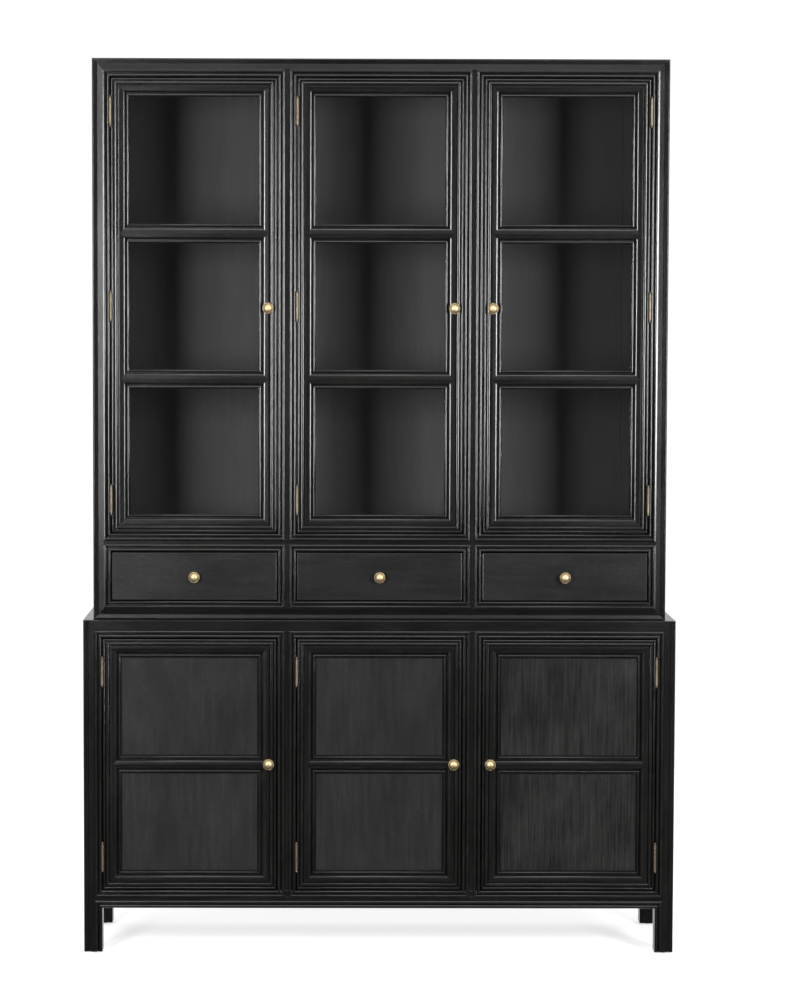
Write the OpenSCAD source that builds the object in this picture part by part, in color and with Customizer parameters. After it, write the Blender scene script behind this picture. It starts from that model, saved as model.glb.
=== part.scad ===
// Two-part display cabinet: a glazed three-door hutch with three drawers stands on a
// deeper base with three panelled doors. Millimetres, +Z up, the front faces -Y.
// The origin is on the floor, under the middle of the cabinet's bounding box.

/* [Overall size] */
// Width of the base across its legs
base_w = 1500; // [1460:10:1700]
// Depth of the base from its face to its back
base_d = 420; // [410:5:500]
// Height of the base
base_h = 852; // [700:1:950]
// Width of the hutch
hutch_w = 1450; // [1350:10:1460]
// Depth of the hutch from its face to its back
hutch_d = 400; // [390:5:410]
// Height of the hutch above the base
hutch_h = 1412; // [1200:1:1600]
// Width of the middle door opening, the same in the base and the hutch
centre_bay = 421; // [380:1:440]

/* [Face frames] */
// Side of the square legs
leg = 47; // [44:0.5:60]
// Width of the upright between two openings
mullion_w = 48.5; // [42:0.5:60]
// Width of the hutch's front stiles
stile_w = 45; // [40:0.5:60]
// Thickness of the face frames
frame_t = 24; // [24:1:30]
// Height of the base's top rail
base_top_rail = 46; // [40:0.5:60]
// Height of the base's bottom rail
base_bottom_rail = 46.5; // [42:0.5:60]
// Clear height under the base's bottom rail
foot_h = 116; // [80:1:160]
// Height of the hutch's top and bottom rails
hutch_rail = 47.5; // [40:0.5:60]
// Height of the rail between the doors and the drawers
middle_rail = 47; // [42:0.5:60]
// Height of the drawer openings
drawer_opening = 124.5; // [115:0.5:160]

/* [Doors] */
// Gap round each door and drawer front
gap = 2; // [1.5:0.1:3]
// Thickness of the doors
door_t = 22; // [22:0.5:23.5]
// Width of the glazed doors' stiles and rails
glazed_stick = 46; // [44:0.5:60]
// Width of the base doors' stiles and rails
panel_stick = 48.5; // [44:0.5:65]
// Thickness of the glass
glass_t = 4; // [3:0.5:5]
// Thickness of the base doors' panels
panel_t = 8; // [5:0.5:9]

/* [Drawers] */
// Thickness of the drawer fronts
drawer_front_t = 20; // [16:1:22]
// Depth of the drawer boxes behind their fronts
drawer_box_d = 335; // [250:5:350]
// Height of the drawer boxes
drawer_box_h = 96; // [60:1:105]
// Thickness of the drawer sides and backs
drawer_side_t = 12; // [10:1:14]
// Thickness of the drawer bottoms
drawer_bottom_t = 6; // [4:0.5:8]

/* [Boards] */
// Thickness of side panels, dividers, deck and bottom boards
board_t = 18; // [14:1:20]
// Thickness of the top boards
top_t = 20; // [16:1:22]
// Thickness of the shelves
shelf_t = 20; // [16:1:22]
// Thickness of the back panels
back_t = 8; // [5:1:10]
// How far the base's side panels stand back from the legs
side_recess = 5; // [0:1:8]

/* [Ironmongery] */
// Length of the hinge barrels, without their ball tips
barrel_l = 66; // [50:1:80]
// Radius of the hinge barrels
barrel_r = 4.2; // [4:0.1:4.5]
// Radius of the hinge pins
pin_r = 2; // [1.5:0.1:2.2]
// Thickness of a hinge leaf
leaf_t = 1.6; // [1.2:0.1:1.8]
// Distance from an opening's end to the middle of the nearest hinge
hinge_inset = 85; // [70:1:120]
// Diameter of the knobs
knob_d = 28; // [22:1:32]
// How far the knobs stand out from the face
knob_reach = 27; // [22:1:32]
// Height of the glides under the legs
glide_h = 4; // [3:0.5:8]

/* [Hidden] */
$fn = 48;
BLACK = [0.11, 0.11, 0.105];
INSIDE = [0.17, 0.165, 0.16];
BRASS = [0.78, 0.65, 0.4];
BROWN = [0.3, 0.2, 0.13];
GLASS = [0.75, 0.85, 0.85, 0.35];
STEEL = [0.5, 0.5, 0.5];

// Planes, from the floor's centre
face_y = (knob_reach - base_d) / 2;
back_y = face_y + base_d;
hutch_y = back_y - hutch_d;
top_z = base_h + hutch_h;

// Clear sizes of the openings: an opening is [left, right, bottom, top]
base_x = base_w / 2 - leg;
hutch_x = hutch_w / 2 - stile_w;
bay_x = centre_bay / 2;
mullion_x = bay_x + mullion_w / 2;
base_low = foot_h + base_bottom_rail;
base_high = base_h - base_top_rail;
drawer_low = base_h + hutch_rail;
drawer_high = drawer_low + drawer_opening;
door_low = drawer_high + middle_rail;
door_high = top_z - hutch_rail;
foot_opening = [-base_x, base_x, 0, foot_h];

// The moulding that frames each opening, and the strip round the outside of the hutch
mould_w = 19.5;
flat_v = 3;
strip_w = 13.5;
// The inner part of a door's moulding, beside the glass or the panel
sight_w = 24;
door_edge = 18.8;
bead_steps = 6;
glazed_front = 13.5;
panel_front = 11;
groove_d = 6.5;
slack = 0.1;
// Play between the edge of a pane or panel and the bottom of its groove
pane_play = 0.5;

// Boards
side_x = hutch_w / 2 - board_t;
base_side_x = base_w / 2 - side_recess - board_t;
// How far the deck and the base's floor stand above the edge of the rail in front of them
board_rise = 8;
deck_top = door_low + board_rise;
floor_top = base_low + board_rise;
dado = 5;
// Play at the end of a board or tongue in its groove
dado_play = 0.2;
post_w = 63;
post_t = 14;
base_back_set = 12;
base_back_y = back_y - base_back_set;
base_shelf_rise = 2;
base_shelf_z = (base_low + base_high) / 2 + base_shelf_rise;
base_shelf_set = 60;
shelf_rise = 3;
side_rail_h = 30;
// Chamfer on the legs' back edges
leg_edge = 2;

// Drawers
box_side = 3;
box_low = 4;
box_back_drop = 4;
guide_h = 75;
runner_ledge = 14;
runner_slack = 0.75;
runner_drop = 0.5;
front_v = 1.5;
lift = 3.5;

// Hinges: the pin stands proud of the face, in the middle of the gap
axis_v = -3;
leaf_d = 20;
leaf_slack = 0.3;
pocket_slack = 0.15;
pin_slack = 0.05;
knuckles = 5;
knuckle_space = 0.4;
// How far in front of the face the cut for a leaf begins
pocket_lead = 4;
tip_r = 3;
tip_gap = 0.2;

// Knobs: their distance from the door's free edge, and how far below the middle they sit
glazed_knob = 22;
panel_knob = 20;
glazed_knob_drop = 4;
panel_knob_drop = -3;
drawer_knob_drop = 1;
screw_r = 2;
screw_hole_r = 2.3;
screw_head_r = 4.5;
screw_head_h = 2.4;

// Bullet catches in the rails under the doors' free corners
catch_r = 4;
catch_l = 13;
catch_ball = 3;
catch_out = 1.3;
catch_v = 13;
catch_x = 60;

SIDES = ["left", "centre", "right"];
DOOR_PARTS = ["frame", "knob", "hinge_leaves"];

// ---- Openings ----

function bay(edge, i) = i == 0 ? [-edge, -bay_x - mullion_w] : i == 1 ? [-bay_x, bay_x] :
    [bay_x + mullion_w, edge];
function opening(edge, i, low, high) = concat(bay(edge, i), [low, high]);
function base_opening(i) = opening(base_x, i, base_low, base_high);
function door_opening(i) = opening(hutch_x, i, door_low, door_high);
function drawer_hole(i) = opening(hutch_x, i, drawer_low, drawer_high);
function inset(o, d) = [o[0] + d, o[1] - d, o[2] + d, o[3] - d];
// Openings one above the other, parted by bars that are two mouldings wide
function lights(o, count) = let (pitch = (o[3] - o[2] + 2 * sight_w) / count)
    [for (k = [0:count - 1]) [o[0], o[1], o[2] + k * pitch, o[2] + (k + 1) * pitch - 2 * sight_w]];
function hinge_side(i) = i == 2 ? -1 : 1;
function hinge_x(o, i) = i == 2 ? o[1] - gap / 2 : o[0] + gap / 2;
function hutch_hinges() = [door_low + hinge_inset, (door_low + door_high) / 2, door_high - hinge_inset];
function base_hinges() = [base_low + hinge_inset, base_high - hinge_inset];

// ---- Profiles: points [u, v], u outwards from an opening and v back from the face ----

// A rounded bead that starts at u, is w wide and stands rise proud of the depth v
function bead(u, w, v, rise, part = 1) = [for (i = [0:bead_steps * part])
    let (t = 180 * i / bead_steps) [u + w * (1 - cos(t)) / 2, v - rise * sin(t)]];
// A convex quarter round that rises from depth v to depth v_end over the width w
function quarter(u, w, v, v_end) = [for (i = [0:3])
    [u + w * (1 - cos(30 * i)), v - (v - v_end) * sin(30 * i)]];

// Two beads with a groove between them; the second falls away to the flat
frame_moulding = concat([[0, frame_t]], bead(0, 9.5, flat_v, flat_v),
    [[9.9, 4.2], [10.7, 4.2]], bead(11, 8.5, flat_v, flat_v), [[mould_w, frame_t]]);
// The same, with the second bead level with the band beside it
band_moulding = concat([[0, frame_t]], bead(0, 9.5, flat_v, flat_v),
    [[9.9, 4.2], [10.7, 4.2]], bead(11, 8.5, flat_v, flat_v, 0.5), [[mould_w, 0], [mould_w, frame_t]]);
// The outer strip, set off by a fine groove
strip_front = concat([[0, 0], [0.2, 2], [1.6, 2]], bead(1.8, 6, 2, 2, 0.5),
    [[10, 0], [12.4, 1], [strip_w, 3.5]]);
outer_strip = concat([[0, frame_t]], strip_front, [[strip_w, frame_t]]);
// A glazed door's moulding beside the glass, up to the crest of the face
glazed_sight = concat([[0, glazed_front]], bead(0, 7.5, 7.5, 2.5), [[8, 8.2], [9, 8.2]],
    quarter(9.3, 7.7, 7.2, 0.6), [[20, 0.1], [sight_w, 0], [sight_w, glazed_front]]);
// A base door's moulding beside the panel, with a fillet before the first bead
panel_sight = concat([[0, panel_front], [0, 9.6], [2.2, 9.6]], bead(2.4, 7.3, 8.6, 3),
    [[10, 9.2], [10.8, 9.2]], quarter(11, 7.7, 8, 0.6), [[sight_w, 0], [sight_w, panel_front]]);
// The outer part of a door's moulding: flat face, groove, bead, valley and edge bead
function door_outer(w) = let (f = w - door_edge) concat([[0, door_t], [0, 0], [f, 0]],
    [[f + 0.4, 2.5], [f + 1.4, 2.5]], bead(f + 1.8, 8.8, 2.5, 2.5),
    [[f + 11, 3.4], [f + 12, 3.4]], bead(f + 12.3, 6.5, 3.4, 2.6), [[w, door_t]]);

// ---- Solids that the parts share ----

// A box from its limits in x, y and z
module block(x, y, z) {
    translate([x[0], y[0], z[0]]) cube([x[1] - x[0], y[1] - y[0], z[1] - z[0]]);
}

// A box over an opening's rectangle
module slab(o, y0, y1) {
    block([o[0], o[1]], [y0, y1], [o[2], o[3]]);
}

// One moulded length with mitred ends, along +X, outwards to -Z and back to +Y
module mitred_length(l, profile, w) {
    depth = max([for (p = profile) p[1]]);
    intersection() {
        translate([-w, 0, 0])
            rotate([90, 0, 90])
                linear_extrude(l + 2 * w) polygon([for (p = profile) [p[1], -p[0]]]);
        translate([0, depth, 0])
            rotate([90, 0, 0])
                linear_extrude(depth) polygon([[0, 0], [l, 0], [l + w, -w], [-w, -w]]);
    }
}

// One side of the moulding round an opening: "left", "right", "bottom" or "top"
module ring_side(side, o, y, profile, w) {
    upright = o[3] - o[2];
    across = o[1] - o[0];
    if (side == "bottom") translate([o[0], y, o[2]]) mitred_length(across, profile, w);
    if (side == "top") translate([o[0], y, o[3]]) mirror([0, 0, 1]) mitred_length(across, profile, w);
    if (side == "right") translate([o[1], y, o[2]]) rotate([0, -90, 0]) mitred_length(upright, profile, w);
    if (side == "left")
        translate([o[0], y, o[2]]) mirror([1, 0, 0]) rotate([0, -90, 0]) mitred_length(upright, profile, w);
}

module ring(o, y, profile, w) {
    for (side = ["left", "right", "bottom", "top"]) ring_side(side, o, y, profile, w);
}

module both_sides() {
    for (m = [0, 1]) mirror([m, 0, 0]) children();
}

// The square space that the four legs take
module leg_space() {
    both_sides() {
        block([base_x, base_w / 2], [face_y, face_y + leg], [0, base_h]);
        block([base_x, base_w / 2], [back_y - leg, back_y], [0, base_h]);
    }
}

// ---- Hinges ----

// Places its children at each hinge of a set of openings, mirrored for doors hung on the right
module at_hinges(openings, i, face, heights) {
    for (z = heights) translate([hinge_x(openings[i], i), face + axis_v, z])
        scale_x(hinge_side(i)) children();
}

module scale_x(side) {
    if (side > 0) children();
    else mirror([1, 0, 0]) children();
}

module at_hutch_hinges(i) {
    at_hinges([for (k = [0:2]) door_opening(k)], i, hutch_y, hutch_hinges()) children();
}

module at_base_hinges(i) {
    at_hinges([for (k = [0:2]) base_opening(k)], i, face_y, base_hinges()) children();
}

module at_all_hinges() {
    for (i = [0:2]) {
        at_hutch_hinges(i) children();
        at_base_hinges(i) children();
    }
}

module knuckle(k, r, extra) {
    pitch = barrel_l / knuckles;
    translate([0, 0, -barrel_l / 2 + k * pitch + leaf_slack / 2 - extra])
        cylinder(r = r, h = pitch - leaf_slack + 2 * extra);
}

// A hinge leaf on the door's side, +X: its own knuckles, and room for the other leaf's
module leaf(own, other) {
    difference() {
        union() {
            difference() {
                block([leaf_slack, leaf_slack + leaf_t], [0, leaf_d - axis_v], [-barrel_l / 2, barrel_l / 2]);
                for (k = other) knuckle(k, barrel_r + knuckle_space, leaf_slack);
            }
            for (k = own) knuckle(k, barrel_r, 0);
        }
        cylinder(r = pin_r + pin_slack, h = 2 * barrel_l, center = true);
    }
}

// The shallow pocket that a leaf lies in, cut from the wood on the door's side, +X
module leaf_pocket() {
    block([0, leaf_slack + leaf_t + pocket_slack], [-axis_v - pocket_lead, leaf_d - axis_v + pocket_slack],
          [-barrel_l / 2 - pocket_slack, barrel_l / 2 + pocket_slack]);
}

module frame_pockets() {
    at_all_hinges() mirror([1, 0, 0]) leaf_pocket();
}

module pin() {
    tip_z = barrel_l / 2 + tip_r + tip_gap;
    cylinder(r = pin_r, h = 2 * tip_z, center = true);
    for (s = [-1, 1]) translate([0, 0, s * tip_z]) sphere(r = tip_r);
}

module hinge_frame_leaves() {
    color(BRASS) at_all_hinges() mirror([1, 0, 0]) leaf([0, 2, 4], [1, 3]);
}

module hinge_pins() {
    color(BRASS) at_all_hinges() pin();
}

// ---- Knobs ----

// A mushroom knob on its own axis: +Z is out from the face
module knob_solid() {
    r = knob_d / 2;
    rim = knob_reach - 9.5;
    dome = [for (i = [0:9]) [r * cos(10 * i), rim + (knob_reach - rim) * sin(10 * i)]];
    rotate_extrude() polygon(concat([[0, 0], [8, 0], [8, 1.2], [7, 2.2], [5, 3], [5, rim - 6.5],
        [r - 2, rim - 3]], dome, [[0, knob_reach]]));
}

// A knob on a face at y, with the screw that holds it through wood of thickness t
module knob(x, y, z, t) {
    color(BRASS) translate([x, y, z]) {
        rotate([90, 0, 0]) knob_solid();
        rotate([-90, 0, 0]) {
            cylinder(r = screw_r, h = t);
            translate([0, 0, t]) cylinder(r = screw_head_r, h = screw_head_h);
        }
    }
}

module screw_hole(x, y, z, t) {
    translate([x, y - 1, z]) rotate([-90, 0, 0]) cylinder(r = screw_hole_r, h = t + 2);
}

// ---- Doors ----

// The x of a door's knob: inset from the free edge of the door
function knob_x(door, i, d) = i == 2 ? door[0] + d : door[1] - d;

// The wood of a door: outer moulding, a moulding round each light, and the back that grips
// the glass or panels, whose outlines are the rectangles in held
module door_wood(door, stick, y, lit, sight, front, held, held_t) {
    inner = inset(door, stick - sight_w);
    ring(inner, y, door_outer(stick - sight_w), stick - sight_w);
    for (o = lit) ring(o, y, sight, sight_w);
    difference() {
        slab(inner, y + front, y + door_t);
        for (o = held) {
            slab(o, y + front - 1, y + door_t + 1);
            slab(inset(o, -groove_d), y + front - 1, y + front + held_t + 2 * slack);
        }
    }
}

module hutch_door_frame(i) {
    door = inset(door_opening(i), gap);
    sight = inset(door, glazed_stick);
    knob_at = knob_x(door, i, glazed_knob);
    color(BLACK) difference() {
        door_wood(door, glazed_stick, hutch_y, lights(sight, 3),
                  glazed_sight, glazed_front, [sight], glass_t);
        at_hutch_hinges(i) leaf_pocket();
        screw_hole(knob_at, hutch_y, (door[2] + door[3]) / 2 - glazed_knob_drop, door_t);
    }
}

module hutch_door_glass(i) {
    sight = inset(door_opening(i), gap + glazed_stick - groove_d + pane_play);
    color(GLASS) slab(sight, hutch_y + glazed_front + slack, hutch_y + glazed_front + slack + glass_t);
}

module hutch_door_knob(i) {
    door = inset(door_opening(i), gap);
    knob(knob_x(door, i, glazed_knob), hutch_y, (door[2] + door[3]) / 2 - glazed_knob_drop, door_t);
}

module hutch_door_hinge_leaves(i) {
    color(BRASS) at_hutch_hinges(i) leaf([1, 3], [0, 2, 4]);
}

module base_door_frame(i) {
    door = inset(base_opening(i), gap);
    lit = lights(inset(door, panel_stick), 2);
    knob_at = knob_x(door, i, panel_knob);
    color(BLACK) difference() {
        door_wood(door, panel_stick, face_y, lit, panel_sight, panel_front, lit, panel_t);
        at_base_hinges(i) leaf_pocket();
        screw_hole(knob_at, face_y, (door[2] + door[3]) / 2 - panel_knob_drop, door_t);
    }
}

module base_door_panels(i) {
    front = face_y + panel_front + slack;
    color(BLACK) for (o = lights(inset(base_opening(i), gap + panel_stick), 2))
        slab(inset(o, pane_play - groove_d), front, front + panel_t);
}

module base_door_knob(i) {
    door = inset(base_opening(i), gap);
    knob(knob_x(door, i, panel_knob), face_y, (door[2] + door[3]) / 2 - panel_knob_drop, door_t);
}

module base_door_hinge_leaves(i) {
    color(BRASS) at_base_hinges(i) leaf([1, 3], [0, 2, 4]);
}

// ---- Drawers ----

function drawer_x(i) = (bay(hutch_x, i)[0] + bay(hutch_x, i)[1]) / 2;
function box_half(i) = (bay(hutch_x, i)[1] - bay(hutch_x, i)[0]) / 2 - box_side;
drawer_back_y = hutch_y + front_v + drawer_front_t;
box_z = drawer_low + box_low;
bottom_z = box_z + lift;

module drawer_front(i) {
    o = inset(drawer_hole(i), gap);
    half = box_half(i) - drawer_side_t + dado;
    color(BLACK) difference() {
        slab(o, hutch_y + front_v, drawer_back_y);
        block([drawer_x(i) - half, drawer_x(i) + half], [drawer_back_y - dado, drawer_back_y + 1],
              [bottom_z - slack, bottom_z + drawer_bottom_t + slack]);
        screw_hole(drawer_x(i), hutch_y + front_v, (o[2] + o[3]) / 2 - drawer_knob_drop, drawer_front_t);
    }
}

module drawer_box(i) {
    half = box_half(i);
    inner = half - drawer_side_t;
    end_y = drawer_back_y + drawer_box_d;
    tongue = inner + dado - dado_play;
    color(BROWN) translate([drawer_x(i), 0, 0]) {
        both_sides() difference() {
            block([inner, half], [drawer_back_y, end_y], [box_z, box_z + drawer_box_h]);
            block([inner - 1, inner + dado], [drawer_back_y - 1, end_y + 1],
                  [bottom_z - slack, bottom_z + drawer_bottom_t + slack]);
        }
        block([slack - inner, inner - slack], [end_y - drawer_side_t, end_y],
              [bottom_z + drawer_bottom_t + slack, box_z + drawer_box_h - box_back_drop]);
        block([-tongue, tongue], [drawer_back_y - dado + dado_play, end_y],
              [bottom_z, bottom_z + drawer_bottom_t]);
    }
}

module drawer_knob(i) {
    o = inset(drawer_hole(i), gap);
    knob(drawer_x(i), hutch_y + front_v, (o[2] + o[3]) / 2 - drawer_knob_drop, drawer_front_t);
}

// The x of the wall beside a drawer, on the left (-1) or right (1) of drawer i
function wall_x(i, s) = (i - 1) * s > 0 ? s * side_x : (2 * i - 2 + s) * mullion_x - s * board_t / 2;

// Ledges that carry the drawers, each with a guide beside the drawer's side
module drawer_runners() {
    low = base_h + board_t;
    color(INSIDE) for (i = [0:2]) for (s = [-1, 1]) {
        side = drawer_x(i) + s * (box_half(i) + runner_slack);
        wall = wall_x(i, s);
        translate([0, hutch_y + frame_t, 0]) rotate([90, 0, 0]) mirror([0, 0, 1])
            linear_extrude(back_y - back_t - hutch_y - frame_t)
                polygon([[wall, low], [wall, low + guide_h], [side, low + guide_h],
                         [side, box_z - runner_drop], [side - s * runner_ledge, box_z - runner_drop],
                         [side - s * runner_ledge, low]]);
    }
}

// ---- Hutch ----

strip_opening = [-hutch_w / 2 + strip_w, hutch_w / 2 - strip_w, base_h + strip_w, top_z - strip_w];
hutch_inner_y = hutch_y + frame_t;

module hutch_stiles() {
    color(BLACK) difference() {
        both_sides() {
            ring_side("right", door_opening(2), hutch_y, band_moulding, mould_w);
            ring_side("right", drawer_hole(2), hutch_y, band_moulding, mould_w);
            ring_side("right", strip_opening, hutch_y, outer_strip, strip_w);
            block([hutch_x + mould_w, strip_opening[1]], [hutch_y, hutch_inner_y],
                  [drawer_low - mould_w, door_high + mould_w]);
        }
        frame_pockets();
    }
}

module hutch_mullions() {
    color(BLACK) difference() {
        for (i = [0, 1]) {
            ring_side("right", door_opening(i), hutch_y, frame_moulding, mould_w);
            ring_side("left", door_opening(i + 1), hutch_y, frame_moulding, mould_w);
            ring_side("right", drawer_hole(i), hutch_y, frame_moulding, mould_w);
            ring_side("left", drawer_hole(i + 1), hutch_y, frame_moulding, mould_w);
            x0 = door_opening(i)[1] + mould_w;
            x1 = door_opening(i + 1)[0] - mould_w;
            block([x0, x1], [hutch_y + flat_v, hutch_inner_y], [door_low - mould_w, door_high + mould_w]);
            block([x0, x1], [hutch_y + flat_v, hutch_inner_y], [drawer_low - mould_w, drawer_high + mould_w]);
        }
        frame_pockets();
    }
}

module hutch_front_rails() {
    color(BLACK) difference() {
        union() {
            for (i = [0:2]) {
                ring_side("top", door_opening(i), hutch_y, band_moulding, mould_w);
                ring_side("bottom", door_opening(i), hutch_y, frame_moulding, mould_w);
                ring_side("top", drawer_hole(i), hutch_y, frame_moulding, mould_w);
                ring_side("bottom", drawer_hole(i), hutch_y, band_moulding, mould_w);
            }
            for (side = ["top", "bottom"]) ring_side(side, strip_opening, hutch_y, outer_strip, strip_w);
            block([strip_opening[0], strip_opening[1]], [hutch_y, hutch_inner_y],
                  [door_high + mould_w, strip_opening[3]]);
            block([strip_opening[0], strip_opening[1]], [hutch_y, hutch_inner_y],
                  [strip_opening[2], drawer_low - mould_w]);
            block([-hutch_x - mould_w, hutch_x + mould_w], [hutch_y + flat_v, hutch_inner_y],
                  [drawer_high + mould_w, door_low - mould_w]);
        }
        catch_holes(hutch_y, hutch_x, door_low);
    }
}

// The shelves' heights: each lies behind a glazing bar, a little above the bar's middle
function shelf_z() = let (l = lights(inset(door_opening(1), gap + glazed_stick), 3))
    [for (k = [0, 1]) l[k][3] + sight_w - shelf_t / 2 + shelf_rise];

module hutch_side_panels() {
    color(INSIDE) both_sides() difference() {
        block([side_x, hutch_w / 2], [hutch_inner_y, back_y], [base_h + board_t, top_z - top_t]);
        for (z = shelf_z())
            block([side_x - 1, side_x + dado], [hutch_inner_y - 1, back_y - back_t],
                  [z - slack, z + shelf_t + slack]);
    }
}

module hutch_shelves() {
    end_x = side_x + dado - dado_play;
    color(INSIDE) for (z = shelf_z()) difference() {
        block([-end_x, end_x], [hutch_inner_y, back_y - back_t], [z, z + shelf_t]);
        both_sides() block([side_x - post_w, end_x + 1], [back_y - back_t - post_t, back_y],
                           [z - 1, z + shelf_t + 1]);
    }
}

module hutch_top_board() {
    color(BLACK) block([-hutch_w / 2, hutch_w / 2], [hutch_inner_y, back_y], [top_z - top_t, top_z]);
}

module hutch_bottom_board() {
    color(INSIDE) block([-hutch_w / 2, hutch_w / 2], [hutch_inner_y, back_y], [base_h, base_h + board_t]);
}

module hutch_deck() {
    color(INSIDE) block([-side_x, side_x], [hutch_inner_y, back_y - back_t], [deck_top - board_t, deck_top]);
}

module hutch_back_posts() {
    color(INSIDE) both_sides() block([side_x - post_w, side_x], [back_y - back_t - post_t, back_y - back_t],
                                     [deck_top, top_z - top_t]);
}

module hutch_back_panel() {
    color(INSIDE) block([-side_x, side_x], [back_y - back_t, back_y], [base_h + board_t, top_z - top_t]);
}

module drawer_dividers() {
    color(INSIDE) both_sides() block([mullion_x - board_t / 2, mullion_x + board_t / 2],
        [hutch_inner_y, back_y - back_t], [base_h + board_t, deck_top - board_t]);
}

// ---- Base ----

base_inner_y = face_y + frame_t;

module base_front_legs() {
    strip_x = base_w / 2 - strip_w;
    outline = concat([[base_x + mould_w, leg], [base_x + mould_w, flat_v], [strip_x, flat_v]],
        [for (p = strip_front) if (p[0] > 0) [strip_x + p[0], p[1]]],
        [[base_w / 2, leg - leg_edge], [base_w / 2 - leg_edge, leg]]);
    color(BLACK) difference() {
        both_sides() {
            translate([0, face_y, glide_h]) linear_extrude(base_h - glide_h) polygon(outline);
            block([base_x, base_x + mould_w], [base_inner_y, face_y + leg], [glide_h, base_h]);
            ring_side("right", base_opening(2), face_y, frame_moulding, mould_w);
            intersection() {
                ring_side("right", foot_opening, face_y, frame_moulding, mould_w);
                block([0, base_w], [face_y - 1, base_inner_y + 1], [glide_h, base_h]);
            }
        }
        frame_pockets();
    }
}

module base_rear_legs() {
    x = [base_x, base_w / 2];
    y = [back_y - leg, back_y];
    outline = [[x[0], y[0] + leg_edge], [x[0] + leg_edge, y[0]],
               [x[1] - leg_edge, y[0]], [x[1], y[0] + leg_edge],
               [x[1], y[1] - leg_edge], [x[1] - leg_edge, y[1]],
               [x[0] + leg_edge, y[1]], [x[0], y[1] - leg_edge]];
    color(BLACK) both_sides() translate([0, 0, glide_h]) linear_extrude(base_h - glide_h) polygon(outline);
}

module leg_glides() {
    color(STEEL) both_sides() for (y = [face_y + leg / 2, back_y - leg / 2])
        translate([base_w / 2 - leg / 2, y, 0])
            rotate_extrude() polygon([[0, 0], [8, 0], [10.5, 1], [11.5, 2.4], [11.5, glide_h], [0, glide_h]]);
}

module base_mullions() {
    color(BLACK) difference() {
        for (i = [0, 1]) {
            ring_side("right", base_opening(i), face_y, frame_moulding, mould_w);
            ring_side("left", base_opening(i + 1), face_y, frame_moulding, mould_w);
            block([base_opening(i)[1] + mould_w, base_opening(i + 1)[0] - mould_w],
                  [face_y + flat_v, base_inner_y], [base_low - mould_w, base_high + mould_w]);
        }
        frame_pockets();
    }
}

module base_front_rails() {
    end_x = base_x + mould_w;
    color(BLACK) difference() {
        union() {
            for (i = [0:2]) {
                ring_side("top", base_opening(i), face_y, frame_moulding, mould_w);
                ring_side("bottom", base_opening(i), face_y, frame_moulding, mould_w);
            }
            ring_side("top", foot_opening, face_y, frame_moulding, mould_w);
            block([-end_x, end_x], [face_y + flat_v, base_inner_y], [base_high + mould_w, base_h]);
            block([-end_x, end_x], [face_y + flat_v, base_inner_y], [foot_h + mould_w, base_low - mould_w]);
        }
        catch_holes(face_y, base_x, base_low);
    }
}

module base_side_panels() {
    color(BLACK) both_sides() difference() {
        block([base_side_x, base_side_x + board_t], [face_y + leg, back_y - leg], [foot_h, base_h - top_t]);
        block([base_side_x - 1, base_side_x + dado], [face_y + base_shelf_set, back_y],
              [base_shelf_z - slack, base_shelf_z + shelf_t + slack]);
    }
}

// Short rails inside the base, across each side, that carry the bottom and top boards
module base_side_rails() {
    low_z = floor_top - board_t;
    color(INSIDE) both_sides() for (z = [low_z - side_rail_h, base_h - top_t - side_rail_h])
        block([base_side_x - board_t, base_side_x], [face_y + leg, back_y - leg], [z, z + side_rail_h]);
}

module base_board(z, t, x, y_end) {
    difference() {
        block([-x, x], [base_inner_y, y_end], [z, z + t]);
        leg_space();
    }
}

module base_top_board() {
    color(BLACK) base_board(base_h - top_t, top_t, base_w / 2, back_y);
}

module base_bottom_board() {
    color(INSIDE) base_board(floor_top - board_t, board_t, base_side_x, base_back_y);
}

module base_back_panel() {
    color(INSIDE) block([-base_x, base_x], [base_back_y, base_back_y + back_t], [foot_h, base_h - top_t]);
}

module base_dividers() {
    color(INSIDE) both_sides() difference() {
        block([mullion_x - board_t / 2, mullion_x + board_t / 2], [base_inner_y, base_back_y],
              [floor_top, base_h - top_t]);
        for (s = [-1, 1]) {
            x = mullion_x + s * (board_t / 2 - dado / 2 + 0.5);
            block([x - dado / 2 - 0.5, x + dado / 2 + 0.5], [face_y + base_shelf_set, back_y],
                  [base_shelf_z - slack, base_shelf_z + shelf_t + slack]);
        }
    }
}

module base_shelves() {
    in_x = mullion_x - board_t / 2 + dado - dado_play;
    out_x = mullion_x + board_t / 2 - dado + dado_play;
    y = [face_y + base_shelf_set, base_back_y];
    z = [base_shelf_z, base_shelf_z + shelf_t];
    color(INSIDE) {
        block([-in_x, in_x], y, z);
        both_sides() difference() {
            block([out_x, base_side_x + dado - dado_play], y, z);
            leg_space();
        }
    }
}

// ---- Bullet catches ----

// The x of the catch under door i, near the door's free edge
function catch_at(edge, i) = i == 2 ? bay(edge, i)[0] + catch_x : bay(edge, i)[1] - catch_x;

module catch_holes(face, edge, z) {
    for (i = [0:2]) translate([catch_at(edge, i), face + catch_v, z - catch_l - slack])
        cylinder(r = catch_r + pin_slack, h = catch_l + 1);
}

module catches(face, edge, z) {
    for (i = [0:2]) translate([catch_at(edge, i), face + catch_v, z - catch_l]) {
        cylinder(r = catch_r, h = catch_l);
        intersection() {
            translate([0, 0, catch_l + catch_out - catch_ball]) sphere(r = catch_ball);
            cylinder(r = catch_r, h = catch_l + catch_ball);
        }
    }
}

module bullet_catches() {
    color(BRASS) {
        catches(hutch_y, hutch_x, door_low);
        catches(face_y, base_x, base_low);
    }
}

// ---- Assembly ----

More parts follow.
